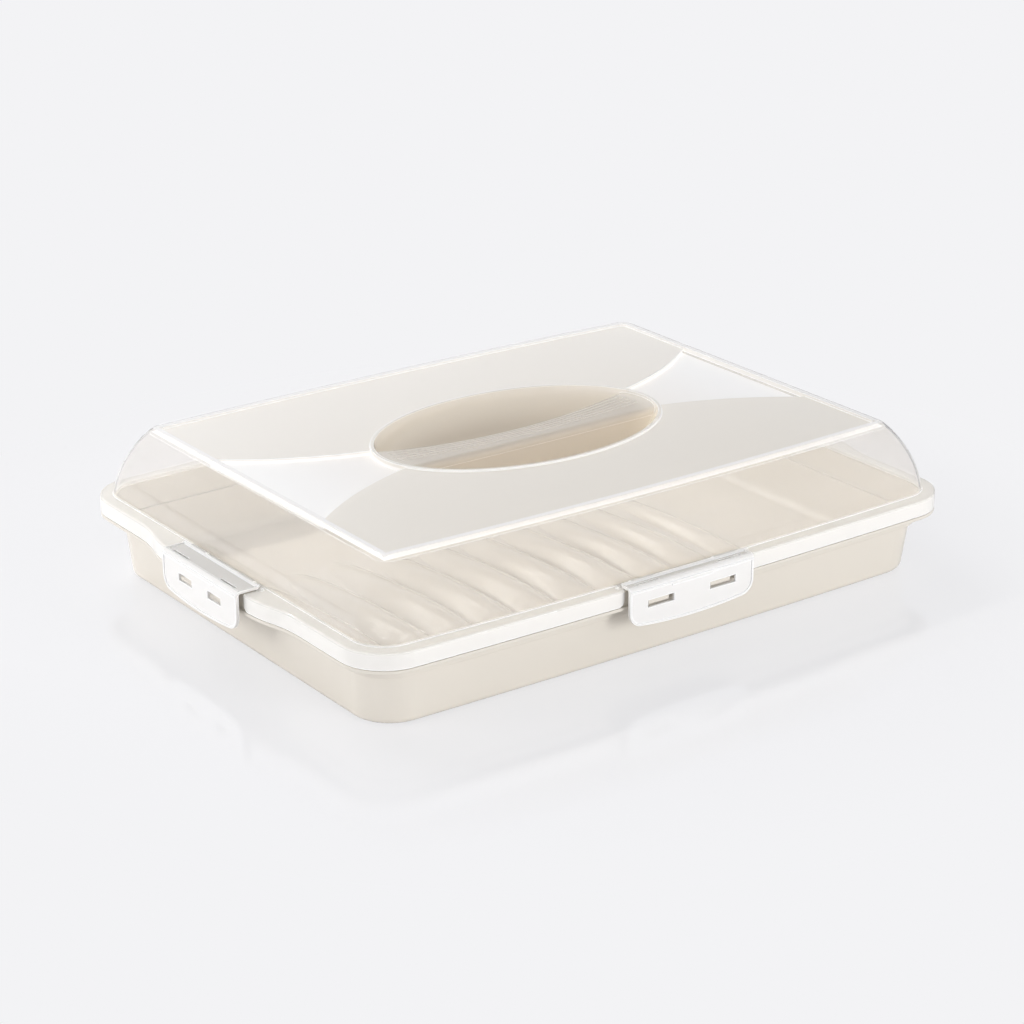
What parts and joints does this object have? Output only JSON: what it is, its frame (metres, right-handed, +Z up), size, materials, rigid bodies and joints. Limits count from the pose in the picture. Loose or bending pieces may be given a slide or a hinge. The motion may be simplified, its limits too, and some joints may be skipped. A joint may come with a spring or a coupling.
{
  "type": "pastry box",
  "caption": "Flat rectangular food carrier: ribbed tray, clear domed lid with an oval recess and grip, and hinged clips that lock the lid to the tray.",
  "frame": {"origin": "middle of the underside of the tray, on the surface that the box stands on", "axes": "+X along the long side to the right, -Y to the front, +Z up"},
  "size_m": [0.463, 0.344, 0.0956],
  "materials": {
    "tray_plastic": "injection-moulded cream polypropylene with a soft gloss",
    "clear_plastic": "injection-moulded clear polypropylene, slightly milky",
    "clip_plastic": "injection-moulded natural polypropylene, milky white"
  },
  "bodies": {
    "tray": {"base_tray": "tray_plastic"},
    "lid": {"lid": "clear_plastic"},
    "clip_front": {"clip_front": "clip_plastic"},
    "clip_right": {"clip_right": "clip_plastic"},
    "clip_rear": {"clip_rear": "clip_plastic"},
    "clip_left": {"clip_left": "clip_plastic"}
  },
  "joints": [
    {"name": "lid_lift", "type": "slide", "parent": "tray", "child": "lid", "axis": [0, 0, 1], "range_m": [0, 0.06]},
    {"name": "clip_front_hinge", "type": "hinge", "parent": "lid", "child": "clip_front", "pos_m": [0, -0.1626, 0.0529], "axis": [-1, 0, 0], "range_deg": [0, 110]},
    {"name": "clip_right_hinge", "type": "hinge", "parent": "lid", "child": "clip_right", "pos_m": [0.2151, 0, 0.0529], "axis": [0, -1, 0], "range_deg": [0, 110]},
    {"name": "clip_rear_hinge", "type": "hinge", "parent": "lid", "child": "clip_rear", "pos_m": [0, 0.1626, 0.0529], "axis": [1, 0, 0], "range_deg": [0, 110]},
    {"name": "clip_left_hinge", "type": "hinge", "parent": "lid", "child": "clip_left", "pos_m": [-0.2151, 0, 0.0529], "axis": [0, 1, 0], "range_deg": [0, 110]}
  ]
}
